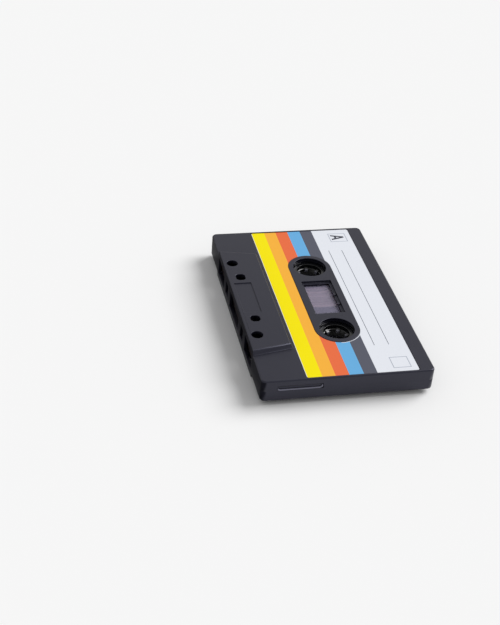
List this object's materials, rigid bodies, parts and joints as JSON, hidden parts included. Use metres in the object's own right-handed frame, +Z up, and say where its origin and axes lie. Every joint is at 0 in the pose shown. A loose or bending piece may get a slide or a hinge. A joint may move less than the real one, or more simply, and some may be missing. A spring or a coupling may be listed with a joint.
{
  "type": "audio cassette",
  "caption": "Audio cassette: striped label on a screwed shell with raised head, hub holes and window; toothed hubs, wound tape, guide rollers and a sprung pressure pad inside.",
  "frame": {"origin": "under the middle of the cassette's outline, at the level of side B's head face", "axes": "+X along the length, to the right of side A's label; +Y from the tape's edge to the rear edge; +Z up, out of side A"},
  "size_m": [0.1004, 0.0638, 0.012],
  "materials": {
    "shell_plastic": "satin",
    "clear_plastic": "gloss",
    "label_film": "satin",
    "slip_sheet": "satin",
    "hub_plastic": "satin",
    "magnetic_tape": "satin",
    "roller_plastic": "satin",
    "steel": "satin",
    "spring_bronze": "satin",
    "felt": "matte"
  },
  "bodies": {
    "shell": {"shell_side_a": "shell_plastic", "shell_side_b": "shell_plastic", "label_side_a": "label_film", "window_side_a": "clear_plastic", "window_side_b": "clear_plastic", "liner_side_a": "slip_sheet", "liner_side_b": "slip_sheet", "tape_run": "magnetic_tape", "left_roller_pin": "steel", "right_roller_pin": "steel", "pad_spring": "spring_bronze", "magnetic_shield": "steel", "shell_screws": "steel"},
    "left_reel": {"left_hub": "hub_plastic", "left_hub_clamp": "hub_plastic", "left_tape_pack": "magnetic_tape"},
    "right_reel": {"right_hub": "hub_plastic", "right_hub_clamp": "hub_plastic"},
    "left_roller": {"left_guide_roller": "roller_plastic"},
    "right_roller": {"right_guide_roller": "roller_plastic"},
    "pad": {"pressure_pad": "felt"}
  },
  "joints": [
    {"name": "left_hub_spin", "type": "hinge", "parent": "shell", "child": "left_reel", "pos_m": [-0.02125, 0.0029, 0.006], "axis": [0, 0, 1], "continuous": true},
    {"name": "right_hub_spin", "type": "hinge", "parent": "shell", "child": "right_reel", "pos_m": [0.02125, 0.0029, 0.006], "axis": [0, 0, 1], "continuous": true},
    {"name": "left_roller_spin", "type": "hinge", "parent": "shell", "child": "left_roller", "pos_m": [-0.0442, -0.02741, 0.006], "axis": [0, 0, 1], "continuous": true},
    {"name": "right_roller_spin", "type": "hinge", "parent": "shell", "child": "right_roller", "pos_m": [0.0442, -0.02741, 0.006], "axis": [0, 0, 1], "continuous": true},
    {"name": "pad_press", "type": "slide", "parent": "shell", "child": "pad", "axis": [0, 1, 0], "range_m": [0, 0.0008], "stiffness_N_per_m": 150, "deforming": ["pad_spring"]}
  ],
  "couplings": [
    {"joint": "right_hub_spin", "follows": "left_hub_spin", "ratio": 2.3119},
    {"joint": "left_roller_spin", "follows": "left_hub_spin", "ratio": 8.4},
    {"joint": "right_roller_spin", "follows": "left_hub_spin", "ratio": 8.4}
  ]
}
